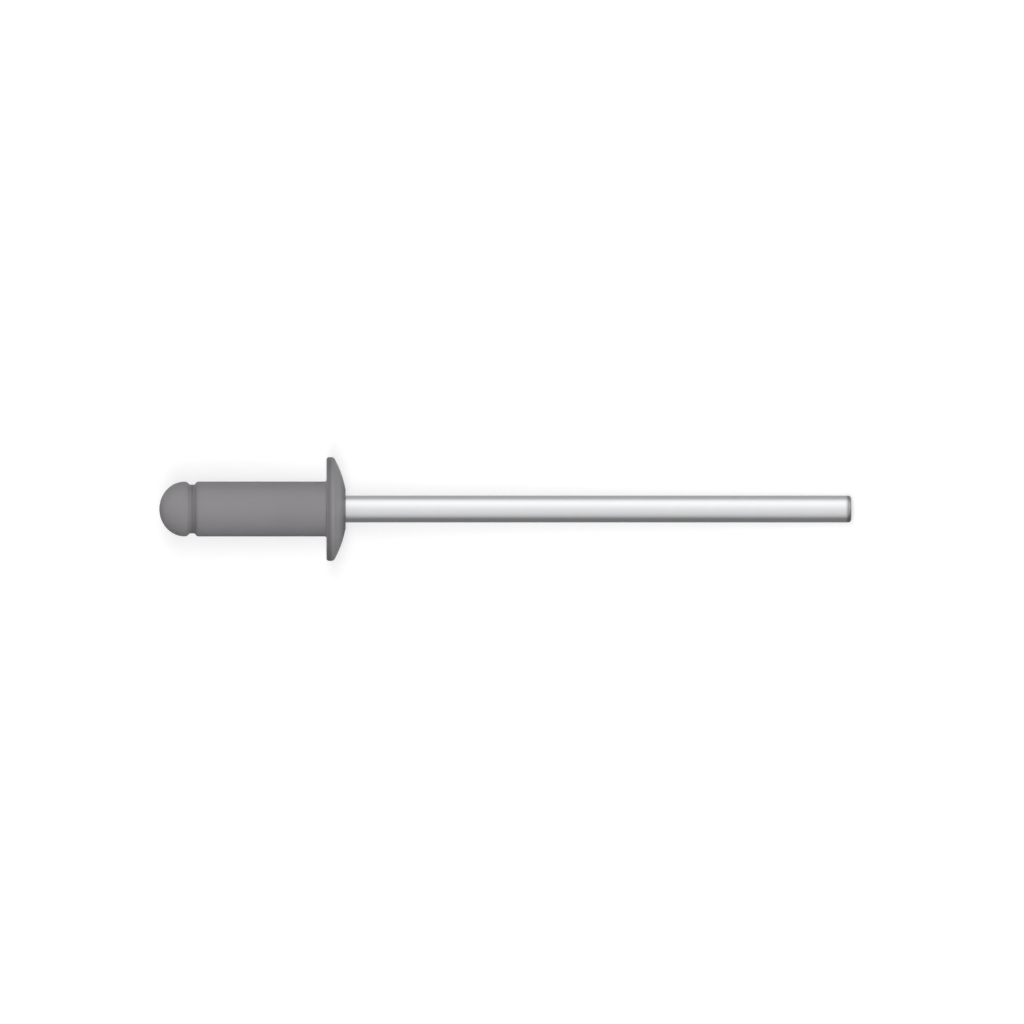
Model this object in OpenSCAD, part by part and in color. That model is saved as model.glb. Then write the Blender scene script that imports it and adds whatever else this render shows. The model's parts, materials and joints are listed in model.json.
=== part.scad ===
// Open-type blind rivet, 3.2 x 8: a flanged tubular body and the headed mandrel that fills its bore.
// Millimetres. The origin is the centre of the flange's seat, on the rivet's axis, +Z up.
// The rivet lies as it rests on a table, on its flange's rim and the tip of its mandrel,
// so its axis runs along +X and dips towards the tip.

/* [Sleeve] */
// Outer diameter of the sleeve
sleeve_d = 3.27; // [2.9:0.01:4.8]
// Length of the sleeve, from the flange's seat to the mandrel head
sleeve_len = 8; // [5:0.5:30]
// Radius that rounds the sleeve's free end
end_round_r = 0.2; // [0.1:0.01:0.4]

/* [Groove around the joint of sleeve and mandrel head] */
// Depth of the groove below the sleeve's surface
groove_depth = 0.18; // [0.1:0.01:0.28]
// Width of the groove's floor, half of it on each side of the joint
groove_w = 0.2; // [0.1:0.02:0.6]
// Radius in the two corners of the groove's floor
groove_corner_r = 0.12; // [0.05:0.01:0.2]

/* [Flange] */
// Outer diameter of the flange
flange_d = 6.18; // [5.8:0.02:9.6]
// Height of the flange, from its seat to the land around the mandrel
flange_h = 1.14; // [1:0.01:2]
// Height of the flange's edge, where its dome would meet its outer diameter
rim_h = 0.43; // [0.35:0.01:0.7]
// Radius between the flange's edge and its dome
rim_dome_r = 0.25; // [0.1:0.01:0.3]
// Radius between the flange's edge and its seat
rim_seat_r = 0.15; // [0.05:0.01:0.2]
// Radius in the corner between the sleeve and the flange's seat
corner_r = 0.1; // [0.05:0.01:0.2]
// Width of the flat land around the bore, on top of the flange
land_w = 0.3; // [0.1:0.02:0.6]
// Chamfer at the mouth of the bore
mouth_chamfer = 0.04; // [0.02:0.01:0.08]

/* [Mandrel] */
// Diameter of the mandrel's stem
stem_d = 1.6; // [1.3:0.01:1.9]
// How far the stem stands out of the flange
stem_reach = 30.1; // [25:0.1:40]
// Radius that rounds the tip of the stem
tip_r = 0.2; // [0.05:0.01:0.3]
// Height of the mandrel head, from the end of the sleeve to its crown
head_h = 1.95; // [1.4:0.05:2.6]
// Radius that rounds the mandrel head's shoulder
shoulder_r = 0.3; // [0.1:0.01:0.5]

/* [Break neck and staking] */
// How far the break neck is cut in below the stem's surface
neck_depth = 0.22; // [0.1:0.02:0.3]
// Length of the break neck at its narrowest
neck_len = 0.3; // [0.1:0.05:1]
// Length of stem between the mandrel head and the break neck
neck_gap = 0.25; // [0.1:0.05:1]
// Length of the swell that holds the stem in the mouth of the bore
swell_len = 0.8; // [0.6:0.05:0.9]
// Distance from the flange's land down to the swell
swell_inset = 0.06; // [0.02:0.01:0.1]

/* [Fits] */
// Clearance all round between the stem and the bore
bore_clearance = 0.05; // [0.02:0.01:0.1]
// Clearance all round between the swell and the bore
swell_clearance = 0.01; // [0.005:0.005:0.015]
// How much smaller than the sleeve the mandrel head is in diameter, to follow it through the hole
head_undersize = 0.01; // [0:0.01:0.1]

/* [Hidden] */
$fn = 96;
arc_steps = 10;
dome_steps = 24;
paint_grey = [0.53, 0.52, 0.53];
bright_steel = [0.82, 0.83, 0.85];

sleeve_r = sleeve_d / 2;
flange_r = flange_d / 2;
stem_r = stem_d / 2;
bore_r = stem_r + bore_clearance;
land_r = bore_r + land_w;
head_r = sleeve_r - head_undersize / 2;
// Radius of the groove's floor, and of the ring on which sleeve and mandrel head meet
joint_r = sleeve_r - groove_depth;

// Each end falls to the groove's floor over its own rounding and the corner of the floor
end_turn = fall_turn(groove_depth, end_round_r);
end_z = groove_w / 2 + (end_round_r + groove_corner_r) * sin(end_turn) - sleeve_len;
shoulder_turn = fall_turn(head_r - joint_r, shoulder_r);
shoulder_z = -sleeve_len - groove_w / 2 - (shoulder_r + groove_corner_r) * sin(shoulder_turn);

// The dome is the sphere through the outer edge of the land and the upper edge of the flange
dome_z = (land_r ^ 2 + flange_h ^ 2 - flange_r ^ 2 - rim_h ^ 2) / (2 * (flange_h - rim_h));
dome_r = norm([land_r, flange_h - dome_z]);
// The rim's upper rounding touches that sphere from inside
rim_c = [flange_r - rim_dome_r, dome_z + sqrt((dome_r - rim_dome_r) ^ 2 - (flange_r - rim_dome_r) ^ 2)];
rim_turn = atan2(rim_c.y - dome_z, rim_c.x);
// Its lower rounding ends where the upper one starts, if the rim is thin
rim_seat = min(rim_seat_r, rim_c.y);

tip_z = flange_h + stem_reach;
swell_z = flange_h - swell_inset;
swell_h = bore_clearance - swell_clearance;

// At rest the floor touches the rim's upper rounding and the tip's rounding
tip_c = [stem_r - tip_r, tip_z - tip_r];
rest_span = tip_c.y - rim_c.y;
rest_drop = rim_c.x - tip_c.x;
rest_tilt = atan2(rest_drop, rest_span) + asin((rim_dome_r - tip_r) / norm([rest_span, rest_drop]));

// Angle through which an end of rounding r turns before the corner of the groove's floor takes over
function fall_turn(depth, r) = acos(max(0, 1 - depth / (r + groove_corner_r)));

// Points on an ellipse about c with half-axes rx and ry, from angle a0 to angle a1
function arc_points(c, rx, ry, a0, a1, steps = arc_steps) = [
    for (i = [0:steps])
        let (a = a0 + (a1 - a0) * i / steps)
            c + [rx * cos(a), ry * sin(a)]
];

// Outlines are half sections: x is the distance from the axis, y runs along it towards the tip
function sleeve_end() = concat(
    [[joint_r, -sleeve_len]],
    arc_points([joint_r + groove_corner_r, groove_w / 2 - sleeve_len],
               groove_corner_r, groove_corner_r, 180, 180 - end_turn),
    arc_points([sleeve_r - end_round_r, end_z], end_round_r, end_round_r, -end_turn, 0)
);

function seat_corner() =
    arc_points([sleeve_r + corner_r, -corner_r], corner_r, corner_r, 180, 90);

function flange_rim() = concat(
    arc_points([flange_r - rim_seat, rim_seat], rim_seat, rim_seat, -90, 0),
    arc_points(rim_c, rim_dome_r, rim_dome_r, 0, rim_turn)
);

function flange_dome() =
    arc_points([0, dome_z], dome_r, dome_r, rim_turn, acos(land_r / dome_r), dome_steps);

function bore_wall() = [
    [bore_r + mouth_chamfer, flange_h],
    [bore_r, flange_h - mouth_chamfer],
    [bore_r, -sleeve_len]
];

function mandrel_crown() = concat(
    arc_points([0, shoulder_z], head_r, head_h + sleeve_len + shoulder_z, -90, 0, dome_steps),
    arc_points([head_r - shoulder_r, shoulder_z], shoulder_r, shoulder_r, 0, shoulder_turn),
    arc_points([joint_r + groove_corner_r, -sleeve_len - groove_w / 2],
               groove_corner_r, groove_corner_r, 180 + shoulder_turn, 180),
    [[joint_r, -sleeve_len]]
);

// The stem starts inside the head, so that the two are one piece
function stem_root() = [
    [0, shoulder_z],
    [stem_r, shoulder_z]
];

function break_neck() = [
    [stem_r, neck_gap - sleeve_len],
    [stem_r - neck_depth, neck_gap + neck_depth - sleeve_len],
    [stem_r - neck_depth, neck_gap + neck_depth + neck_len - sleeve_len],
    [stem_r, neck_gap + 2 * neck_depth + neck_len - sleeve_len]
];

function staking_swell() = [
    for (i = [0:arc_steps])
        [stem_r + swell_h * sin(180 * i / arc_steps), swell_z - swell_len * (1 - i / arc_steps)]
];

function stem_tip() =
    arc_points(tip_c, tip_r, tip_r, 0, 90);

// Turns a half section into a solid and lays it down as the rivet rests
module laid_down(outline) {
    rotate([0, 90 + rest_tilt, 0]) rotate_extrude() polygon(outline);
}

module rivet_body() {
    color(paint_grey)
        laid_down(concat(sleeve_end(), seat_corner(), flange_rim(), flange_dome(), bore_wall()));
}

module mandrel() {
    color(paint_grey)
        laid_down(concat(mandrel_crown(), [[0, -sleeve_len]]));
    color(bright_steel)
        laid_down(concat(stem_root(), break_neck(), staking_swell(), stem_tip(), [[0, tip_z]]));
}

rivet_body();
mandrel();
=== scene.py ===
"""A blind rivet at rest: a painted sleeve and flange on a bright headed mandrel.

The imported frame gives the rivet's axis, lengths and diameters. Each of its two pieces is a half
section, which one Geometry Nodes tree turns about the axis and lays down as the rivet rests.
Lengths are metres. A point of a half section is (distance from the axis, height along the axis),
where height 0 is the flange's seat and heights grow towards the tip of the mandrel.
"""

import json
import logging
import math
from abc import ABC, abstractmethod
from dataclasses import dataclass, field, replace
from enum import Enum
from typing import Any, ClassVar

import bpy
from mathutils import Matrix, Vector


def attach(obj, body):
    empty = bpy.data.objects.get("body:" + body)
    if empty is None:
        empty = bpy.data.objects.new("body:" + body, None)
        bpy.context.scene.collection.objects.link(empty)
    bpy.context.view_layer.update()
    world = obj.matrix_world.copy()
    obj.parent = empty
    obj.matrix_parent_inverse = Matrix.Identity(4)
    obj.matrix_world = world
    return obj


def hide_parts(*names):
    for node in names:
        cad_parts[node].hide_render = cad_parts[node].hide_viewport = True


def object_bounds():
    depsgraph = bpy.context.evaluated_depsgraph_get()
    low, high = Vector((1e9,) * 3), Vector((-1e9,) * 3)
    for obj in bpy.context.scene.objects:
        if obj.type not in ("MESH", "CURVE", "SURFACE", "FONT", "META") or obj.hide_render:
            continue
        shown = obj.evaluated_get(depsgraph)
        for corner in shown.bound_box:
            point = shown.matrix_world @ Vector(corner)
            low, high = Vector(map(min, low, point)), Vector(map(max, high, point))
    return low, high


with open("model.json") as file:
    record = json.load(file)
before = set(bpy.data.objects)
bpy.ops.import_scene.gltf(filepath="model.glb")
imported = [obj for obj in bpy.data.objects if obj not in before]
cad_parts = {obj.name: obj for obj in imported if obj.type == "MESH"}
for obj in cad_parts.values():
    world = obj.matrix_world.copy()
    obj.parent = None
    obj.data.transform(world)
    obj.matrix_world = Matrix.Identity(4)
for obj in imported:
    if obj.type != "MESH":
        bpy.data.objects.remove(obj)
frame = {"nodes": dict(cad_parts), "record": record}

LOG = logging.getLogger("rivet")
CAD_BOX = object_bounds()
FLOOR_HEIGHT = CAD_BOX[0].z
BODY = "root"
MM = 0.001

# Attributes that mark a half section's bare metal and the tent's brightness.
BARE = "bare"
LEVEL = "level"

# A rounded stretch takes a point every few degrees, and never fewer than the least steps.
ARC_STEP = math.radians(4)
ARC_LEAST_STEPS = 4

# Two points of a half section that lie closer than this are one.
SAME_POINT = 0.0001 * MM

# Power over area at which an area lamp looks white.
WHITE_LAMP = 4.0

Point = tuple[float, float]


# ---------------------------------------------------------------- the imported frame


def packed_mount(name: str) -> dict[str, Any]:
    """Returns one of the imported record's mounts."""
    return next(m for m in frame["record"]["mounts"] if m["name"] == name)


def mount_radius(name: str) -> float:
    """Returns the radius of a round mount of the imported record, in metres."""
    return packed_mount(name)["dims"]["r_mm"] * MM


@dataclass(frozen=True)
class Reach:
    """How far a CAD node reaches along the rivet's axis and out from it.

    Attributes:
        low: Lowest height along the axis.
        high: Greatest height along the axis.
        radius: Greatest distance from the axis.
    """

    low: float
    high: float
    radius: float


@dataclass(frozen=True)
class Axis:
    """The rivet's own axis, through the origin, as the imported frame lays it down.

    Attributes:
        direction: Unit vector from the mandrel head towards the tip.
    """

    direction: Vector

    @classmethod
    def of_mount(cls, name: str) -> "Axis":
        """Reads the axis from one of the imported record's mounts.

        Args:
            name: The mount's name.

        Returns:
            The axis along that mount.
        """
        return cls(Vector(packed_mount(name)["axis"]).normalized())

    @property
    def dip(self) -> float:
        """Angle by which the axis falls below +X towards the tip."""
        return math.atan2(-self.direction.z, self.direction.x)

    @property
    def up(self) -> Vector:
        """Unit vector square to the axis that points up from the floor."""
        return self.direction.cross(Vector((0, 1, 0)))

    @property
    def upright(self) -> tuple[float, float, float]:
        """Rotation that turns the axis to +Z, for patterns that follow it."""
        return (0.0, -(math.pi / 2 + self.dip), 0.0)

    def reach(self, node: str) -> Reach:
        """Measures a CAD node along the axis and out from it.

        Args:
            node: The node's name.

        Returns:
            The node's reach.
        """
        points = [v.co for v in frame["nodes"][node].data.vertices]
        heights = [p.dot(self.direction) for p in points]
        radius = max((p - self.direction * h).length for p, h in zip(points, heights))
        return Reach(min(heights), max(heights), radius)


# ---------------------------------------------------------------- nodes


class Wiring:
    """Places nodes in a node tree and joins their sockets."""

    def __init__(self, tree: bpy.types.NodeTree) -> None:
        """Starts with an empty tree.

        Args:
            tree: The tree to fill.
        """
        self.tree = tree
        tree.nodes.clear()

    def add(
        self, kind: str, inputs: dict[str | int, object] | None = None, **settings: object
    ) -> bpy.types.Node:
        """Adds a node.

        Args:
            kind: The node's type name.
            inputs: Input name or number, with the value or the output socket that it gets.
            settings: Properties of the node.

        Returns:
            The new node.
        """
        node = self.tree.nodes.new(kind)
        for name, value in settings.items():
            setattr(node, name, value)
        self.fill(node, inputs or {})
        return node

    def fill(self, node: bpy.types.Node, inputs: dict[str | int, object]) -> None:
        """Sets or joins a node's inputs.

        Args:
            node: The node.
            inputs: Input name or number, with the value or the output socket that it gets.
        """
        for key, value in inputs.items():
            socket = node.inputs[key]
            if isinstance(value, bpy.types.NodeSocket):
                self.tree.links.new(value, socket)
            else:
                socket.default_value = value

    def add_group(self, group: bpy.types.NodeTree, inputs: dict[str, object]) -> bpy.types.Node:
        """Places a shader node group.

        Args:
            group: The group.
            inputs: Input name, with the value or the output socket that it gets.

        Returns:
            The node that holds the group.
        """
        node = self.tree.nodes.new("ShaderNodeGroup")
        node.node_tree = group
        self.fill(node, inputs)
        return node

    def maths(self, operation: str, *values: object) -> bpy.types.NodeSocket:
        """Adds a Math node.

        Args:
            operation: What it works out.
            values: Its numbers or the output sockets that they come from.

        Returns:
            The result's socket.
        """
        node = self.add("ShaderNodeMath", dict(enumerate(values)), operation=operation)
        return node.outputs[0]


def new_group(name: str, inputs: dict[str, object], outputs: dict[str, str]) -> Wiring:
    """Makes a shader node group with its sockets.

    Args:
        name: The group's name.
        inputs: Each input's name, with its default value.
        outputs: Each output's name, with its socket type.

    Returns:
        The wiring of the new group.
    """
    tree = bpy.data.node_groups.new(name, "ShaderNodeTree")
    for label, value in inputs.items():
        kind = "NodeSocketFloat"
        if isinstance(value, tuple):
            kind = "NodeSocketColor" if len(value) == 4 else "NodeSocketVector"
        socket = tree.interface.new_socket(label, in_out="INPUT", socket_type=kind)
        socket.default_value = value
    for label, kind in outputs.items():
        tree.interface.new_socket(label, in_out="OUTPUT", socket_type=kind)
    return Wiring(tree)


# ---------------------------------------------------------------- half sections


def arc_points(
    centre: Point, radius: float, start: float, end: float, rise: float | None = None
) -> list[Point]:
    """Places points on an arc, of a circle or of an ellipse.

    Args:
        centre: The arc's centre.
        radius: Half-axis away from the rivet's axis.
        start: Angle of the first point, from the outward direction towards the tip.
        end: Angle of the last point.
        rise: Half-axis along the rivet's axis, if it differs from radius.

    Returns:
        The points in order, both ends included.
    """
    steps = max(ARC_LEAST_STEPS, math.ceil(abs(end - start) / ARC_STEP))
    angles = [start + (end - start) * i / steps for i in range(steps + 1)]
    rise = radius if rise is None else rise
    return [(centre[0] + radius * math.cos(a), centre[1] + rise * math.sin(a)) for a in angles]


@dataclass
class HalfSection:
    """An outline that is turned about the axis.

    Attributes:
        closed: Whether the outline runs back to its first point.
        points: (distance from the axis, height) of each point.
        bare: Whether the surface at each point is left unpainted.
    """

    closed: bool
    points: list[Point] = field(default_factory=list)
    bare: list[bool] = field(default_factory=list)

    def add(self, points: list[Point], bare: bool = False) -> None:
        """Runs the outline on through the given points.

        Args:
            points: The points in order. One that repeats the point before it is left out.
            bare: Whether the surface there is left unpainted.
        """
        for point in points:
            if self.points and math.dist(point, self.points[-1]) < SAME_POINT:
                continue
            self.points.append(point)
            self.bare.append(bare)

    def as_object(self, name: str) -> bpy.types.Object:
        """Makes the outline a chain of edges, with a mark on the bare points.

        Args:
            name: The name of the object and its mesh.

        Returns:
            The new object, in the scene.
        """
        count = len(self.points)
        edges = [(i, i + 1) for i in range(count - 1)]
        if self.closed:
            edges.append((count - 1, 0))
        mesh = bpy.data.meshes.new(name)
        mesh.from_pydata([(r, h, 0.0) for r, h in self.points], edges, [])
        mark = mesh.attributes.new(BARE, "FLOAT", "POINT")
        mark.data.foreach_set("value", [float(b) for b in self.bare])
        outline = bpy.data.objects.new(name, mesh)
        bpy.context.scene.collection.objects.link(outline)
        return outline


# ---------------------------------------------------------------- turning


class TurningInput(Enum):
    """The named inputs of the turning tree."""

    SEGMENTS = "Segments"
    RING_SPACING = "Ring Spacing"
    DIP = "Dip"
    CREASE = "Crease Angle"
    SKIN = "Skin"
    CORE = "Core"


@dataclass(frozen=True)
class Turning:
    """How finely a half section is turned.

    Attributes:
        segments: Number of faces round the axis.
        ring_spacing: Greatest distance between two rings on a straight stretch.
        crease: Edges that bend by more than this stay sharp.
        rail_radius: Radius of the circle that carries the half section round.
        weld: Points closer than this become one, as at the poles.
        bare_share: Faces where more than this of the mark is bare take the core's material.
    """

    segments: int = 192
    ring_spacing: float = 0.4 * MM
    crease: float = math.radians(30)
    rail_radius: float = 1 * MM
    weld: float = 0.0002 * MM
    bare_share: float = 0.99


class Lathe:
    """The Geometry Nodes tree that turns a half section and lays the piece down."""

    def __init__(self, turning: Turning) -> None:
        """Builds the tree.

        Args:
            turning: How finely it turns.
        """
        self.turning = turning
        self.tree = bpy.data.node_groups.new("turn_half_section", "GeometryNodeTree")
        self.sockets = self._make_interface()
        self._wire()

    def _make_interface(self) -> dict[TurningInput, str]:
        """Makes the tree's sockets.

        Returns:
            The identifier of each named input.
        """
        face = self.tree.interface
        face.new_socket("Geometry", in_out="INPUT", socket_type="NodeSocketGeometry")
        kinds = {
            TurningInput.SEGMENTS: "NodeSocketInt",
            TurningInput.RING_SPACING: "NodeSocketFloat",
            TurningInput.DIP: "NodeSocketFloat",
            TurningInput.CREASE: "NodeSocketFloat",
            TurningInput.SKIN: "NodeSocketMaterial",
            TurningInput.CORE: "NodeSocketMaterial",
        }
        found = {
            label: face.new_socket(label.value, in_out="INPUT", socket_type=kind).identifier
            for label, kind in kinds.items()
        }
        face.new_socket("Geometry", in_out="OUTPUT", socket_type="NodeSocketGeometry")
        return found

    def _wire(self) -> None:
        """Places and joins the tree's nodes."""
        tree = Wiring(self.tree)
        given = tree.add("NodeGroupInput").outputs
        outline = self._with_rings(tree, given)
        rail = tree.add(
            "GeometryNodeCurvePrimitiveCircle",
            {"Resolution": given[TurningInput.SEGMENTS.value], "Radius": self.turning.rail_radius},
        )
        turned = tree.add(
            "GeometryNodeCurveToMesh",
            {"Curve": rail.outputs["Curve"], "Profile Curve": outline},
        )
        welded = tree.add(
            "GeometryNodeMergeByDistance",
            {"Geometry": turned.outputs["Mesh"], "Distance": self.turning.weld},
        )
        smooth = self._shaded(tree, given, welded.outputs["Geometry"])
        turn = tree.add(
            "ShaderNodeCombineXYZ",
            {"Y": tree.maths("SUBTRACT", given[TurningInput.DIP.value], math.pi / 2)},
        )
        laid = tree.add(
            "GeometryNodeTransform",
            {"Geometry": smooth, "Rotation": turn.outputs["Vector"]},
        )
        painted = tree.add(
            "GeometryNodeSetMaterial",
            {"Geometry": laid.outputs["Geometry"], "Material": given[TurningInput.SKIN.value]},
        )
        whole = tree.add("GeometryNodeRealizeInstances", {"Geometry": painted.outputs["Geometry"]})
        dressed = tree.add(
            "GeometryNodeSetMaterial",
            {
                "Geometry": whole.outputs["Geometry"],
                "Selection": self._wholly_bare(tree),
                "Material": given[TurningInput.CORE.value],
            },
        )
        tree.add("NodeGroupOutput", {"Geometry": dressed.outputs["Geometry"]})

    def _with_rings(self, tree: Wiring, given: bpy.types.NodeOutputs) -> bpy.types.NodeSocket:
        """Turns the outline into a curve with points along its straight stretches.

        Args:
            tree: The wiring.
            given: The tree's input sockets.

        Returns:
            The curve, moved in by the rail's radius.
        """
        curve = tree.add("GeometryNodeMeshToCurve", {"Mesh": given["Geometry"]})
        here = tree.add("GeometryNodeInputPosition").outputs[0]
        after = tree.add("GeometryNodeOffsetPointInCurve", {"Offset": 1})
        there = tree.add(
            "GeometryNodeFieldAtIndex",
            {"Index": after.outputs["Point Index"], "Value": here},
            data_type="FLOAT_VECTOR",
        )
        gap = tree.add(
            "ShaderNodeVectorMath", {0: here, 1: there.outputs["Value"]}, operation="DISTANCE"
        )
        cuts = tree.maths("DIVIDE", gap.outputs["Value"], given[TurningInput.RING_SPACING.value])
        fine = tree.add(
            "GeometryNodeSubdivideCurve",
            {"Curve": curve.outputs["Curve"], "Cuts": tree.maths("FLOOR", cuts)},
        )
        shift = (-self.turning.rail_radius, 0.0, 0.0)
        moved = tree.add(
            "GeometryNodeTransform", {"Geometry": fine.outputs["Curve"], "Translation": shift}
        )
        return moved.outputs["Geometry"]

    def _shaded(
        self, tree: Wiring, given: bpy.types.NodeOutputs, geometry: bpy.types.NodeSocket
    ) -> bpy.types.NodeSocket:
        """Shades the faces smooth and keeps creases sharp.

        Args:
            tree: The wiring.
            given: The tree's input sockets.
            geometry: The turned mesh.

        Returns:
            The shaded mesh.
        """
        smooth = tree.add("GeometryNodeSetShadeSmooth", {"Geometry": geometry})
        angle = tree.add("GeometryNodeInputMeshEdgeAngle").outputs["Unsigned Angle"]
        sharp = tree.maths("GREATER_THAN", angle, given[TurningInput.CREASE.value])
        creased = tree.add(
            "GeometryNodeSetShadeSmooth",
            {"Geometry": smooth.outputs["Geometry"], "Selection": sharp, "Shade Smooth": False},
            domain="EDGE",
        )
        return creased.outputs["Geometry"]

    def _wholly_bare(self, tree: Wiring) -> bpy.types.NodeSocket:
        """Finds the faces whose every corner is marked as bare metal."""
        mark = tree.add("GeometryNodeInputNamedAttribute", {"Name": BARE}, data_type="FLOAT")
        return tree.maths("GREATER_THAN", mark.outputs[0], self.turning.bare_share)

    def turn(
        self,
        name: str,
        outline: HalfSection,
        axis: Axis,
        skin: bpy.types.Material,
        core: bpy.types.Material,
    ) -> bpy.types.Object:
        """Turns a half section into a piece.

        Args:
            name: The piece's name.
            outline: The half section.
            axis: The rivet's axis.
            skin: Material of the painted faces.
            core: Material of the bare faces.

        Returns:
            The piece, as a plain mesh that lies as the rivet rests.
        """
        blank = outline.as_object(name + "_half_section")
        modifier = blank.modifiers.new("turning", "NODES")
        modifier.node_group = self.tree
        values = {
            TurningInput.SEGMENTS: self.turning.segments,
            TurningInput.RING_SPACING: self.turning.ring_spacing,
            TurningInput.DIP: axis.dip,
            TurningInput.CREASE: self.turning.crease,
            TurningInput.SKIN: skin,
            TurningInput.CORE: core,
        }
        for label, value in values.items():
            modifier[self.sockets[label]] = value
        evaluated = blank.evaluated_get(bpy.context.evaluated_depsgraph_get())
        mesh = bpy.data.meshes.new_from_object(evaluated)
        bpy.data.objects.remove(blank)
        mesh.name = name
        piece = bpy.data.objects.new(name, mesh)
        bpy.context.scene.collection.objects.link(piece)
        return piece


# ---------------------------------------------------------------- shared surface effects


@dataclass(frozen=True)
class Noise:
    """How rough a noise is.

    Attributes:
        detail: Number of finer layers in it.
        gain: Strength of each layer over the one before it.
    """

    detail: float
    gain: float


CLOUDS = Noise(detail=4.0, gain=0.55)
GRAIN = Noise(detail=3.0, gain=0.5)

# The value that a noise swings about.
NOISE_MIDDLE = 0.5


def mottle_group() -> bpy.types.NodeTree:
    """Makes the group that varies a colour and a roughness slowly over a surface.

    Returns:
        The group.
    """
    group = new_group(
        "mottle",
        {
            "Vector": (0.0, 0.0, 0.0),
            "Scale": 1.0,
            "Colour": (0.5, 0.5, 0.5, 1.0),
            "Contrast": 0.1,
            "Roughness": 0.5,
            "Roughness Spread": 0.1,
        },
        {"Colour": "NodeSocketColor", "Roughness": "NodeSocketFloat"},
    )
    given = group.add("NodeGroupInput").outputs
    noise = group.add(
        "ShaderNodeTexNoise",
        {
            "Vector": given["Vector"],
            "Scale": given["Scale"],
            "Detail": CLOUDS.detail,
            "Roughness": CLOUDS.gain,
        },
    )
    swing = group.maths("SUBTRACT", noise.outputs[0], NOISE_MIDDLE)
    gain = group.maths("MULTIPLY_ADD", swing, given["Contrast"], 1.0)
    tone = group.add(
        "ShaderNodeVectorMath", {0: given["Colour"], "Scale": gain}, operation="SCALE"
    )
    rough = group.maths("MULTIPLY_ADD", swing, given["Roughness Spread"], given["Roughness"])
    group.add("NodeGroupOutput", {"Colour": tone.outputs[0], "Roughness": rough})
    return group.tree


def relief_group() -> bpy.types.NodeTree:
    """Makes the group that gives the height of a fine grain or of drawn lines.

    Returns:
        The group.
    """
    group = new_group(
        "relief",
        {"Vector": (0.0, 0.0, 0.0), "Scale": 1.0, "Along": 1.0},
        {"Height": "NodeSocketFloat"},
    )
    given = group.add("NodeGroupInput").outputs
    squeeze = group.add("ShaderNodeCombineXYZ", {"X": 1.0, "Y": 1.0, "Z": given["Along"]})
    place = group.add(
        "ShaderNodeVectorMath", {0: given["Vector"], 1: squeeze.outputs[0]}, operation="MULTIPLY"
    )
    noise = group.add(
        "ShaderNodeTexNoise",
        {
            "Vector": place.outputs[0],
            "Scale": given["Scale"],
            "Detail": GRAIN.detail,
            "Roughness": GRAIN.gain,
        },
    )
    group.add("NodeGroupOutput", {"Height": noise.outputs[0]})
    return group.tree


def painted_shading_group() -> bpy.types.NodeTree:
    """Makes the group that paints shade or light into a colour, in a soft band round the axis.

    Returns:
        The group. Its mask is a bell curve of the distance along the axis.
    """
    group = new_group(
        "painted_shading",
        {
            "Vector": (0.0, 0.0, 0.0),
            "Colour": (0.5, 0.5, 0.5, 1.0),
            "Height": 0.0,
            "Reach": 1.0,
            "Depth": 0.2,
        },
        {"Colour": "NodeSocketColor"},
    )
    given = group.add("NodeGroupInput").outputs
    height = group.add("ShaderNodeSeparateXYZ", {"Vector": given["Vector"]}).outputs["Z"]
    # The band paints shade where Depth is above 0 and light where it is below.
    away = group.maths("DIVIDE", group.maths("SUBTRACT", height, given["Height"]), given["Reach"])
    bell = group.maths("EXPONENT", group.maths("MULTIPLY", group.maths("POWER", away, 2.0), -1.0))
    loss = group.maths("MULTIPLY", bell, given["Depth"])
    tone = group.add(
        "ShaderNodeVectorMath",
        {0: given["Colour"], "Scale": group.maths("SUBTRACT", 1.0, loss)},
        operation="SCALE",
    )
    group.add("NodeGroupOutput", {"Colour": tone.outputs[0]})
    return group.tree


@dataclass(frozen=True)
class Effects:
    """The surface effects that the finishes share.

    Attributes:
        mottle: Slow change of colour and roughness.
        relief: Height of a fine grain or of drawn lines.
        painted_shading: Soft band of painted shade or painted light round the axis.
    """

    mottle: bpy.types.NodeTree
    relief: bpy.types.NodeTree
    painted_shading: bpy.types.NodeTree


@dataclass(frozen=True)
class PaintedShadingBand:
    """A soft band of painted shade, where a finish is darkened as in a groove or at an edge, or of
    painted light, where it is lightened.

    Attributes:
        height: Height of the band's middle over the edge that it marks.
        reach: Distance over which it fades.
        depth: Share of the colour that it takes away in its middle, below 0 where it is lighter.
    """

    height: float
    reach: float
    depth: float

    def at(self, edge: float) -> "PaintedShadingBand":
        """Returns the same band with its height taken from the flange's seat."""
        return replace(self, height=self.height + edge)


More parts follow.
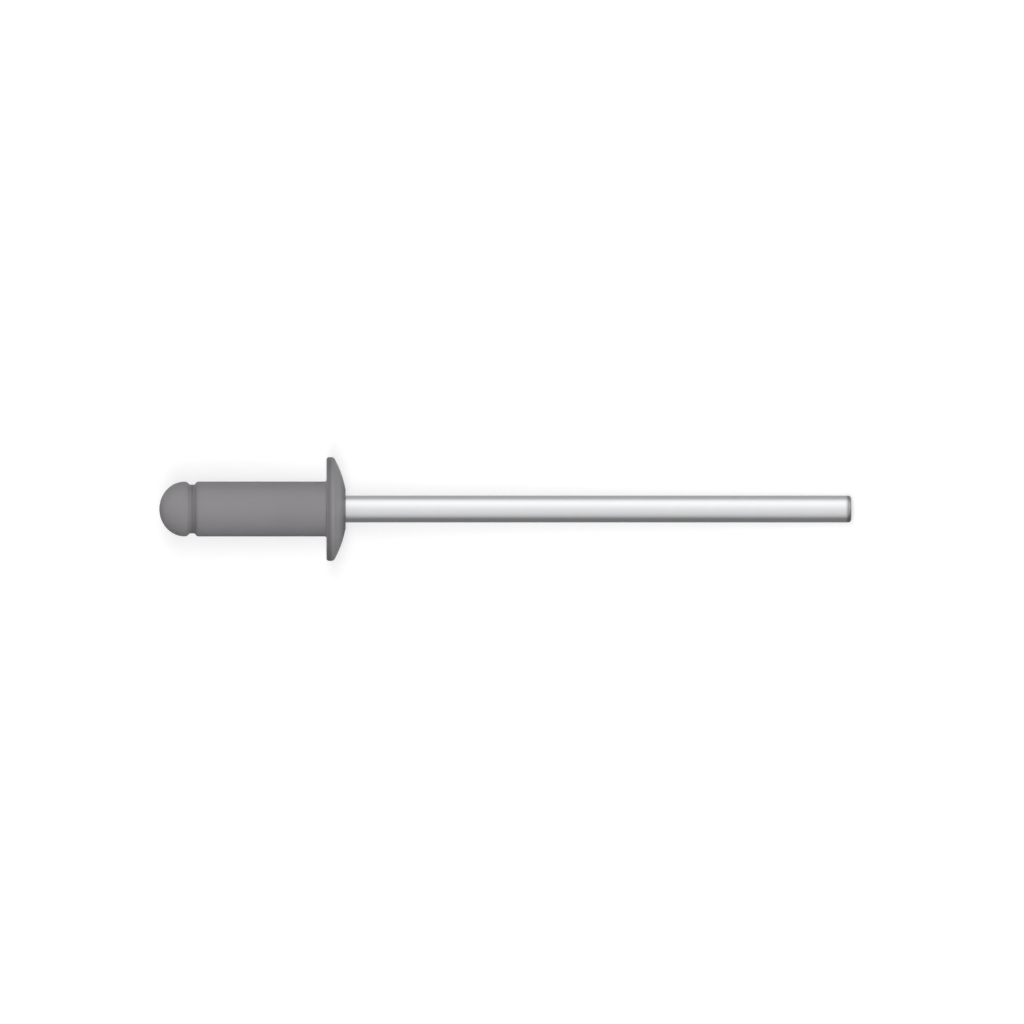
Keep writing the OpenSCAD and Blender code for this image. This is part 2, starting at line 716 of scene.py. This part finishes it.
@dataclass(frozen=True)
class Finish:
    """A finish of one of the rivet's surfaces.

    Attributes:
        name: The material's name.
        colour: Linear colour.
        metallic: 1 for bare metal and 0 for paint.
        roughness: Mean roughness.
        roughness_spread: How far the roughness swings over the surface.
        contrast: How far the colour swings over the surface.
        cloud_size: Size of the patches in colour and roughness.
        grain_size: Size of the grain, or width of a drawn line.
        grain_along: How much the grain is drawn out along the axis, 1 for none.
        grain_depth: Depth of the grain.
        specular: Strength of the mirrored light on paint, 0.5 for a plain one.
    """

    name: str
    colour: tuple[float, float, float]
    metallic: float
    roughness: float
    roughness_spread: float
    contrast: float
    cloud_size: float
    grain_size: float
    grain_along: float
    grain_depth: float
    specular: float = 0.5

    def material(
        self, effects: Effects, axis: Axis, shading_bands: tuple[PaintedShadingBand, ...] = ()
    ) -> bpy.types.Material:
        """Makes the finish's material.

        Args:
            effects: The shared effects.
            axis: The rivet's axis, which the grain and the bands follow.
            shading_bands: Bands of painted shade and painted light round the axis.

        Returns:
            The new material.
        """
        made = bpy.data.materials.new(self.name)
        made.use_nodes = True
        tree = Wiring(made.node_tree)
        place = tree.add("ShaderNodeTexCoord").outputs["Object"]
        turned = tree.add("ShaderNodeMapping", {"Vector": place, "Rotation": axis.upright})
        along = turned.outputs["Vector"]
        mottle = tree.add_group(
            effects.mottle,
            {
                "Vector": along,
                "Scale": 1 / self.cloud_size,
                "Colour": (*self.colour, 1.0),
                "Contrast": self.contrast,
                "Roughness": self.roughness,
                "Roughness Spread": self.roughness_spread,
            },
        )
        colour = mottle.outputs["Colour"]
        # Each band paints shade or light into the colour.
        for tone in shading_bands:
            band = tree.add_group(
                effects.painted_shading,
                {
                    "Vector": along,
                    "Colour": colour,
                    "Height": tone.height,
                    "Reach": tone.reach,
                    "Depth": tone.depth,
                },
            )
            colour = band.outputs["Colour"]
        relief = tree.add_group(
            effects.relief,
            {"Vector": along, "Scale": 1 / self.grain_size, "Along": 1 / self.grain_along},
        )
        bump = tree.add(
            "ShaderNodeBump",
            {"Height": relief.outputs["Height"], "Distance": self.grain_depth, "Strength": 1.0},
        )
        shader = tree.add(
            "ShaderNodeBsdfPrincipled",
            {
                "Base Color": colour,
                "Roughness": mottle.outputs["Roughness"],
                "Metallic": self.metallic,
                "Specular IOR Level": self.specular,
                "Normal": bump.outputs["Normal"],
            },
        )
        tree.add("ShaderNodeOutputMaterial", {"Surface": shader.outputs[0]})
        return made


SATIN_PAINT = Finish(
    name="satin_grey_paint",
    colour=(0.242, 0.235, 0.246),
    metallic=0.0,
    roughness=0.45,
    roughness_spread=0.08,
    contrast=0.06,
    cloud_size=1.2 * MM,
    grain_size=0.12 * MM,
    grain_along=1.0,
    grain_depth=0.004 * MM,
    specular=0.35,
)
DRAWN_STEEL = Finish(
    name="bright_drawn_steel",
    colour=(0.705, 0.71, 0.722),
    metallic=1.0,
    roughness=0.32,
    roughness_spread=0.08,
    contrast=0.05,
    cloud_size=0.8 * MM,
    grain_size=0.05 * MM,
    grain_along=60.0,
    grain_depth=0.0015 * MM,
)
BORED_ALUMINIUM = Finish(
    name="bare_aluminium",
    colour=(0.62, 0.63, 0.64),
    metallic=1.0,
    roughness=0.4,
    roughness_spread=0.1,
    contrast=0.06,
    cloud_size=0.6 * MM,
    grain_size=0.06 * MM,
    grain_along=20.0,
    grain_depth=0.001 * MM,
)


# ---------------------------------------------------------------- the rivet's pieces


class TurnedPiece(ABC):
    """A piece of the rivet that is turned from a half section.

    Attributes:
        node: Name of the CAD node that it stands for.
        slot: Name of the record's material slot for it.
    """

    node: ClassVar[str]
    slot: ClassVar[str]

    @abstractmethod
    def half_section(self) -> HalfSection:
        """Returns the piece's outline."""

    def build(
        self,
        lathe: Lathe,
        axis: Axis,
        skin: bpy.types.Material,
        core: bpy.types.Material,
    ) -> bpy.types.Object:
        """Turns the piece, dresses it and lets it stand for its CAD node.

        Args:
            lathe: The tree that turns it.
            axis: The rivet's axis.
            skin: Material of its painted faces.
            core: Material of its bare faces.

        Returns:
            The piece.
        """
        piece = lathe.turn(self.node + "_turned", self.half_section(), axis, skin, core)
        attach(piece, BODY)
        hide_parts(self.node)
        faces = len(piece.data.polygons)
        LOG.info("%s: %d faces, replaces %s", piece.name, faces, self.node)
        return piece


@dataclass(frozen=True)
class JointGroove:
    """The groove round the joint of the sleeve and the mandrel head.

    Attributes:
        depth: Depth below the sleeve's surface.
        width: Width of its floor, half of it on each side of the joint.
        corner: Radius in the two corners of its floor.
        lip: Radius that breaks the edges that meet at the joint.
    """

    depth: float = 0.18 * MM
    width: float = 0.2 * MM
    corner: float = 0.12 * MM
    lip: float = 0.03 * MM

    def side(self, floor: float, outer: float, rounding: float) -> list[Point]:
        """Places points on one side of the groove, from the joint out to the full diameter.

        Args:
            floor: Radius of the groove's floor.
            outer: Radius of the piece beside the groove.
            rounding: Radius that rounds the piece's end.

        Returns:
            (distance from the axis, distance from the joint) of each point.
        """
        fall = math.acos(1 - (outer - floor) / (rounding + self.corner))
        half = self.width / 2
        run = (rounding + self.corner) * math.sin(fall)
        return (
            arc_points((floor - self.lip, self.lip), self.lip, -math.pi / 2, 0.0)
            + arc_points((floor + self.corner, half), self.corner, math.pi, math.pi - fall)
            + arc_points((outer - rounding, half + run), rounding, -fall, 0.0)
        )


@dataclass
class FlangedBody(TurnedPiece):
    """The tubular body: a sleeve with a rounded end, and a domed flange.

    Attributes:
        reach: How far the CAD node reaches.
        sleeve_radius: Outer radius of the sleeve.
        stem_radius: Radius of the mandrel's stem, which the bore lets through.
        groove: The groove at the sleeve's free end.
        end_round: Radius that rounds the sleeve's free end.
        corner: Radius in the corner under the flange.
        rim_height: Height of the rim where the dome would meet its outer radius.
        rim_dome_round: Radius between rim and dome.
        rim_seat_round: Radius between rim and seat.
        land_width: Width of the flat land round the bore.
        bore_clearance: Gap between the stem and the bore.
        mouth_chamfer: Chamfer at the mouth of the bore.
        sleeve_painted_light: Painted light on the sleeve towards the flange.
        groove_painted_shade: Painted shade in the groove.
        rim_painted_shade: Painted shade on the rim.
        dome_painted_light: Painted light on the dome.
        land_painted_shade: Painted shade round the land.
    """

    node = "rivet_body"
    slot = "sleeve_paint"

    reach: Reach
    sleeve_radius: float
    stem_radius: float
    groove: JointGroove
    end_round: float = 0.2 * MM
    corner: float = 0.1 * MM
    rim_height: float = 0.43 * MM
    rim_dome_round: float = 0.25 * MM
    rim_seat_round: float = 0.15 * MM
    land_width: float = 0.3 * MM
    bore_clearance: float = 0.05 * MM
    mouth_chamfer: float = 0.04 * MM
    # Painted light on the sleeve end and the dome; painted shade in the groove, on the rim and
    # round the land.
    sleeve_painted_light: PaintedShadingBand = PaintedShadingBand(height=0.0, reach=3 * MM, depth=-0.07)
    groove_painted_shade: PaintedShadingBand = PaintedShadingBand(height=0.07 * MM, reach=0.27 * MM, depth=0.285)
    rim_painted_shade: PaintedShadingBand = PaintedShadingBand(height=0.155 * MM, reach=0.165 * MM, depth=0.42)
    dome_painted_light: PaintedShadingBand = PaintedShadingBand(height=0.68 * MM, reach=0.24 * MM, depth=-0.18)
    land_painted_shade: PaintedShadingBand = PaintedShadingBand(height=0.0, reach=0.19 * MM, depth=0.47)

    @property
    def bore_radius(self) -> float:
        """Radius of the bore."""
        return self.stem_radius + self.bore_clearance

    @property
    def groove_floor(self) -> float:
        """Radius of the floor of the groove at the sleeve's free end."""
        return self.sleeve_radius - self.groove.depth

    def half_section(self) -> HalfSection:
        """Draws the wall, from the joint round the flange and down the bore.

        Returns:
            The outline, which is closed.
        """
        end = self.reach.low
        outline = HalfSection(closed=True)
        outline.add([(self.bore_radius, end)], bare=True)
        side = self.groove.side(self.groove_floor, self.sleeve_radius, self.end_round)
        outline.add([(r, end + h) for r, h in side])
        under = (self.sleeve_radius + self.corner, -self.corner)
        outline.add(arc_points(under, self.corner, math.pi, math.pi / 2))
        self._add_flange(outline)
        top = self.reach.high
        outline.add([(self.bore_radius + self.mouth_chamfer, top)])
        outline.add([(self.bore_radius, top - self.mouth_chamfer)], bare=True)
        return outline

    def paint_shading_bands(self) -> tuple[PaintedShadingBand, ...]:
        """Lists the bands of painted shade and painted light on the paint.

        Returns:
            The bands on the body, with their heights taken from the seat.
        """
        return (
            self.sleeve_painted_light,
            self.groove_painted_shade.at(self.reach.low),
            self.rim_painted_shade,
            self.dome_painted_light,
            self.land_painted_shade.at(self.reach.high),
        )

    def _add_flange(self, outline: HalfSection) -> None:
        """Adds the flange's rim and dome.

        The dome is the sphere through the land's edge and the rim's. The rim's upper rounding
        touches it from inside.

        Args:
            outline: The outline, which has reached the seat.
        """
        top = self.reach.high
        rim = self.reach.radius
        land = self.bore_radius + self.land_width
        rise = top - self.rim_height
        centre = (land**2 + top**2 - rim**2 - self.rim_height**2) / (2 * rise)
        dome = math.hypot(land, top - centre)
        inner = rim - self.rim_dome_round
        height = centre + math.sqrt((dome - self.rim_dome_round) ** 2 - inner**2)
        turn = math.atan2(height - centre, inner)
        seat = (rim - self.rim_seat_round, self.rim_seat_round)
        outline.add(arc_points(seat, self.rim_seat_round, -math.pi / 2, 0.0))
        outline.add(arc_points((inner, height), self.rim_dome_round, 0.0, turn))
        outline.add(arc_points((0.0, centre), dome, turn, math.acos(land / dome)))


@dataclass
class HeadedMandrel(TurnedPiece):
    """The mandrel: a painted domed head, a hidden break neck and a bright stem.

    Attributes:
        reach: How far the CAD node reaches.
        stem_radius: Radius of the stem.
        joint: Height of the joint between the head and the sleeve.
        land: Height of the flange's land.
        groove: The groove at the joint.
        groove_floor: Radius of the groove's floor.
        shoulder_round: Radius that rounds the head's shoulder.
        tip_round: Radius that rounds the tip.
        neck_depth: How far the break neck is cut in.
        neck_length: Length of the break neck at its narrowest.
        neck_gap: Length of stem between the head and the break neck.
        swell_length: Length of the swell that holds the stem in the bore.
        swell_inset: Distance from the land down to the swell.
        swell_height: Height of the swell over the stem.
        swell_steps: Number of straight stretches along the swell.
        crown_painted_shade: Painted shade on the head's crown.
        shoulder_painted_light: Painted light on the head's shoulder.
        tip_painted_shade: Painted shade on the steel at the sheared end.
    """

    node = "mandrel"
    slot = "mandrel_steel"

    reach: Reach
    stem_radius: float
    joint: float
    land: float
    groove: JointGroove
    groove_floor: float
    shoulder_round: float = 0.3 * MM
    tip_round: float = 0.2 * MM
    neck_depth: float = 0.22 * MM
    neck_length: float = 0.3 * MM
    neck_gap: float = 0.25 * MM
    swell_length: float = 0.8 * MM
    swell_inset: float = 0.06 * MM
    swell_height: float = 0.04 * MM
    swell_steps: int = 16
    # Painted shade on the crown and at the tip; painted light on the shoulder.
    crown_painted_shade: PaintedShadingBand = PaintedShadingBand(height=0.08 * MM, reach=0.15 * MM, depth=0.11)
    shoulder_painted_light: PaintedShadingBand = PaintedShadingBand(height=-0.2 * MM, reach=0.12 * MM, depth=-0.17)
    tip_painted_shade: PaintedShadingBand = PaintedShadingBand(height=-0.15 * MM, reach=0.12 * MM, depth=0.57)

    def half_section(self) -> HalfSection:
        """Draws the mandrel from the crown of the head to the middle of the tip.

        Returns:
            The outline, which starts and ends on the axis.
        """
        head = self.reach.radius
        side = self.groove.side(self.groove_floor, head, self.shoulder_round)
        shoulder = self.joint - side[-1][1]
        rise = shoulder - self.reach.low
        outline = HalfSection(closed=False)
        outline.add(arc_points((0.0, shoulder), head, -math.pi / 2, 0.0, rise))
        outline.add([(r, self.joint - h) for r, h in reversed(side)])
        self._add_neck(outline)
        self._add_swell(outline)
        tip = self.reach.high
        corner = (self.stem_radius - self.tip_round, tip - self.tip_round)
        outline.add(arc_points(corner, self.tip_round, 0.0, math.pi / 2), bare=True)
        outline.add([(0.0, tip)], bare=True)
        return outline

    def paint_shading_bands(self) -> tuple[PaintedShadingBand, ...]:
        """Returns the bands of painted shade and painted light on the head's paint."""
        return (self.crown_painted_shade.at(self.reach.low), self.shoulder_painted_light.at(self.joint))

    def steel_shading_bands(self) -> tuple[PaintedShadingBand, ...]:
        """Returns the band of painted shade on the steel at the tip."""
        return (self.tip_painted_shade.at(self.reach.high),)

    def _add_neck(self, outline: HalfSection) -> None:
        """Adds the break neck.

        Args:
            outline: The outline, which has reached the joint.
        """
        stem = self.stem_radius
        waist = stem - self.neck_depth
        neck = self.joint + self.neck_gap
        narrow = neck + self.neck_depth
        wide = narrow + self.neck_length
        outline.add([(stem, self.joint), (stem, neck)], bare=True)
        outline.add([(waist, narrow), (waist, wide), (stem, wide + self.neck_depth)], bare=True)

    def _add_swell(self, outline: HalfSection) -> None:
        """Adds the swell.

        Args:
            outline: The outline, which has passed the break neck.
        """
        start = self.land - self.swell_inset - self.swell_length
        for i in range(self.swell_steps + 1):
            share = i / self.swell_steps
            bulge = self.swell_height * math.sin(math.pi * share)
            outline.add([(self.stem_radius + bulge, start + self.swell_length * share)], bare=True)


# ---------------------------------------------------------------- studio


@dataclass(frozen=True)
class SoftBox:
    """A square or oblong lamp that faces the rivet. No surface mirrors it.

    Attributes:
        name: The lamp's name.
        lean: Angle from straight up to the lamp.
        heading: Angle from +X to the lamp, about +Z.
        level: Its brightness, where 1 is white.
        size: Its width and height.
        distance: Distance to the lamp.
    """

    name: str
    lean: float
    heading: float
    level: float
    size: tuple[float, float] = (0.4, 0.4)
    distance: float = 0.5

    @property
    def away(self) -> Vector:
        """Unit vector from the rivet to the lamp."""
        out, up = math.sin(self.lean), math.cos(self.lean)
        return Vector((out * math.cos(self.heading), out * math.sin(self.heading), up))

    def build(self, middle: Vector) -> bpy.types.Object:
        """Hangs the lamp.

        Args:
            middle: The point that it faces.

        Returns:
            The lamp.
        """
        light = bpy.data.lights.new(self.name, "AREA")
        light.shape = "RECTANGLE"
        light.size, light.size_y = self.size
        light.energy = self.level * WHITE_LAMP * light.size * light.size_y
        lamp = bpy.data.objects.new(self.name, light)
        bpy.context.scene.collection.objects.link(lamp)
        lamp.location = middle + self.away * self.distance
        lamp.rotation_mode = "QUATERNION"
        lamp.rotation_quaternion = self.away.to_track_quat("Z", "Y")
        lamp.visible_glossy = False
        return lamp


@dataclass(frozen=True)
class Bend:
    """A bend of the tent's sheet.

    Attributes:
        lean: Angle from straight up, positive on the far side.
        level: Brightness there, where 1 is white.
    """

    lean: float
    level: float


@dataclass(frozen=True)
class Tent:
    """A glowing sheet bent over the rivet that lights nothing. It shows only in mirrored light, as
    a painted reflection that shades the metal.

    Attributes:
        bends: The sheet's bends, from its near foot over the top to its far foot.
        near_floor: Brightness of the sheet where it lies over the floor in front of the rivet.
        far_floor: Brightness of the sheet where it lies over the floor behind it.
        radius: Distance from the floor under the rivet to each bend.
        length: Length along X.
        floor_gap: Height at which the sheet lies over the floor.
    """

    bends: tuple[Bend, ...]
    near_floor: float
    far_floor: float
    radius: float = 60 * MM
    length: float = 400 * MM
    floor_gap: float = 0.01 * MM

    def build(self) -> bpy.types.Object:
        """Puts the tent up.

        Returns:
            The tent.
        """
        over = [
            (self.radius * math.sin(b.lean), self.radius * math.cos(b.lean), b.level)
            for b in self.bends
        ]
        near = [(0.0, 0.0, self.near_floor), (-self.radius, 0.0, self.near_floor)]
        far = [(0.0, 0.0, self.far_floor), (self.radius, 0.0, self.far_floor)]
        low = FLOOR_HEIGHT + self.floor_gap
        half = self.length / 2
        points = []
        levels = []
        faces = []
        for sheet in (near, over, far):
            first = len(points)
            points += [(x, y, low + z) for y, z, _ in sheet for x in (-half, half)]
            levels += [level for _, _, level in sheet for _ in range(2)]
            faces += [(i, i + 1, i + 3, i + 2) for i in range(first, len(points) - 2, 2)]
        mesh = bpy.data.meshes.new("tent")
        mesh.from_pydata(points, [], faces)
        mesh.attributes.new(LEVEL, "FLOAT", "POINT").data.foreach_set("value", levels)
        mesh.materials.append(self._paper())
        tent = bpy.data.objects.new("tent", mesh)
        bpy.context.scene.collection.objects.link(tent)
        tent.visible_camera = False
        tent.visible_diffuse = False
        tent.visible_shadow = False
        tent.visible_transmission = False
        return tent

    def _paper(self) -> bpy.types.Material:
        """Makes the material that glows with the brightness marked on the sheet.

        Returns:
            The material.
        """
        paper = bpy.data.materials.new("tent_paper")
        paper.use_nodes = True
        tree = Wiring(paper.node_tree)
        level = tree.add("ShaderNodeAttribute", attribute_name=LEVEL)
        glow = tree.add("ShaderNodeEmission", {"Strength": level.outputs["Fac"]})
        tree.add("ShaderNodeOutputMaterial", {"Surface": glow.outputs[0]})
        return paper


# How far from straight up the lamps lean that stand beside the rivet.
LOW_LEAN = math.radians(85)

SOFT_BOXES = (
    SoftBox(name="overhead", lean=0.0, heading=0.0, size=(0.1, 0.4), level=12.5),
    SoftBox(name="near_side", lean=LOW_LEAN, heading=math.radians(-135), level=0.5),
    SoftBox(name="tip_side", lean=LOW_LEAN, heading=0.0, level=1.9),
    SoftBox(name="far_side", lean=LOW_LEAN, heading=math.radians(135), level=1.8),
)
TENT = Tent(
    bends=(
        Bend(lean=math.radians(-90), level=0.05),
        Bend(lean=math.radians(-75), level=0.47),
        Bend(lean=math.radians(-45), level=0.85),
        Bend(lean=math.radians(0), level=1.05),
        Bend(lean=math.radians(45), level=1.42),
        Bend(lean=math.radians(60), level=1.43),
        Bend(lean=math.radians(90), level=0.85),
    ),
    near_floor=0.23,
    far_floor=0.5,
)


def shown_rays(tree: Wiring) -> bpy.types.NodeSocket:
    """Finds the rays that show the background, straight, mirrored or through glass.

    Args:
        tree: The wiring of the material or world.

    Returns:
        1 for such a ray and 0 for one that lights the rivet.
    """
    path = tree.add("ShaderNodeLightPath").outputs
    mirrored = tree.maths("MAXIMUM", path["Is Glossy Ray"], path["Is Transmission Ray"])
    return tree.maths("MAXIMUM", path["Is Camera Ray"], mirrored)


@dataclass(frozen=True)
class Studio:
    """The floor, the lamps, the backdrop and the camera.

    Attributes:
        floor_side: Side of the square floor.
        floor_grey: How much light the floor throws back.
        floor_lift: White that the floor adds where it is seen, straight or mirrored.
        fill: Brightness of the light from all round.
        picture_width: Width of what the camera sees.
        camera_along: How far along the axis the camera looks.
        camera_aside: How far beside the axis the camera looks.
        camera_distance: Distance from the axis to the camera.
        sight: Nearest and farthest distance that the camera sees.
        lamps: The lamps.
        tent: The sheet that the metal mirrors.
    """

    floor_side: float = 3.0
    floor_grey: float = 0.42
    floor_lift: float = 0.62
    fill: float = 0.12
    picture_width: float = 60.952 * MM
    camera_along: float = 11.043 * MM
    camera_aside: float = -0.179 * MM
    camera_distance: float = 0.25
    sight: tuple[float, float] = (1 * MM, 10.0)
    lamps: tuple[SoftBox, ...] = SOFT_BOXES
    tent: Tent = TENT

    def build(self, axis: Axis) -> None:
        """Sets up the whole studio.

        Args:
            axis: The rivet's axis, which the camera looks square at.
        """
        middle = axis.direction * self.camera_along
        self._lay_floor()
        self._light_round()
        for lamp in self.lamps:
            lamp.build(middle)
        self.tent.build()
        self._aim_camera(axis)
        bpy.context.scene.view_settings.view_transform = "Standard"
        LOG.info("studio: floor, tent, %d lamps and camera", len(self.lamps))

    def _lay_floor(self) -> None:
        """Lays the floor at the rivet's lowest point."""
        half = self.floor_side / 2
        low = FLOOR_HEIGHT
        mesh = bpy.data.meshes.new("floor")
        corners = [(-half, -half, low), (half, -half, low), (half, half, low), (-half, half, low)]
        mesh.from_pydata(corners, [], [(0, 1, 2, 3)])
        floor = bpy.data.objects.new("floor", mesh)
        bpy.context.scene.collection.objects.link(floor)
        paper = bpy.data.materials.new("white_paper")
        paper.use_nodes = True
        tree = Wiring(paper.node_tree)
        grey = (self.floor_grey,) * 3 + (1.0,)
        matt = tree.add("ShaderNodeBsdfDiffuse", {"Color": grey})
        lift = tree.maths("MULTIPLY", shown_rays(tree), self.floor_lift)
        glow = tree.add("ShaderNodeEmission", {"Strength": lift})
        both = tree.add("ShaderNodeAddShader", {0: matt.outputs[0], 1: glow.outputs[0]})
        tree.add("ShaderNodeOutputMaterial", {"Surface": both.outputs[0]})
        mesh.materials.append(paper)

    def _light_round(self) -> None:
        """Lights the rivet from all round and shows white behind it."""
        world = bpy.data.worlds.new("white_room")
        bpy.context.scene.world = world
        world.use_nodes = True
        tree = Wiring(world.node_tree)
        rest = tree.maths("SUBTRACT", 1.0, shown_rays(tree))
        strength = tree.maths("MULTIPLY_ADD", rest, self.fill - 1.0, 1.0)
        white = tree.add(
            "ShaderNodeBackground", {"Color": (1.0, 1.0, 1.0, 1.0), "Strength": strength}
        )
        tree.add("ShaderNodeOutputWorld", {"Surface": white.outputs[0]})

    def _aim_camera(self, axis: Axis) -> None:
        """Puts the camera over the rivet, square to its axis.

        Args:
            axis: The rivet's axis, level in the picture.
        """
        lens = bpy.data.cameras.new("camera")
        lens.type = "ORTHO"
        lens.ortho_scale = self.picture_width
        lens.clip_start, lens.clip_end = self.sight
        camera = bpy.data.objects.new("camera", lens)
        bpy.context.scene.collection.objects.link(camera)
        aside = Vector((0, 1, 0))
        turn = Matrix((axis.direction, aside, axis.up)).transposed()
        spot = axis.direction * self.camera_along + aside * self.camera_aside
        place = Matrix.Translation(spot + axis.up * self.camera_distance)
        camera.matrix_world = place @ turn.to_4x4()
        bpy.context.scene.camera = camera


def main() -> None:
    """Builds the rivet's two pieces and the studio round them."""
    logging.basicConfig(level=logging.INFO, format="%(name)s: %(message)s")
    axis = Axis.of_mount("mandrel_stem")
    effects = Effects(mottle_group(), relief_group(), painted_shading_group())
    stem_radius = mount_radius("mandrel_stem")
    body = FlangedBody(
        reach=axis.reach("rivet_body"),
        sleeve_radius=mount_radius("grip_sleeve"),
        stem_radius=stem_radius,
        groove=JointGroove(),
    )
    mandrel = HeadedMandrel(
        reach=axis.reach("mandrel"),
        stem_radius=stem_radius,
        joint=body.reach.low,
        land=body.reach.high,
        groove=body.groove,
        groove_floor=body.groove_floor,
    )
    # The paint and the steel take their bands of painted shade and painted light.
    paint = SATIN_PAINT.material(effects, axis, body.paint_shading_bands() + mandrel.paint_shading_bands())
    steel = DRAWN_STEEL.material(effects, axis, mandrel.steel_shading_bands())
    aluminium = BORED_ALUMINIUM.material(effects, axis)
    lathe = Lathe(Turning())
    body.build(lathe, axis, skin=paint, core=aluminium)
    mandrel.build(lathe, axis, skin=paint, core=steel)
    Studio().build(axis)


if __name__ == "__main__":
    main()
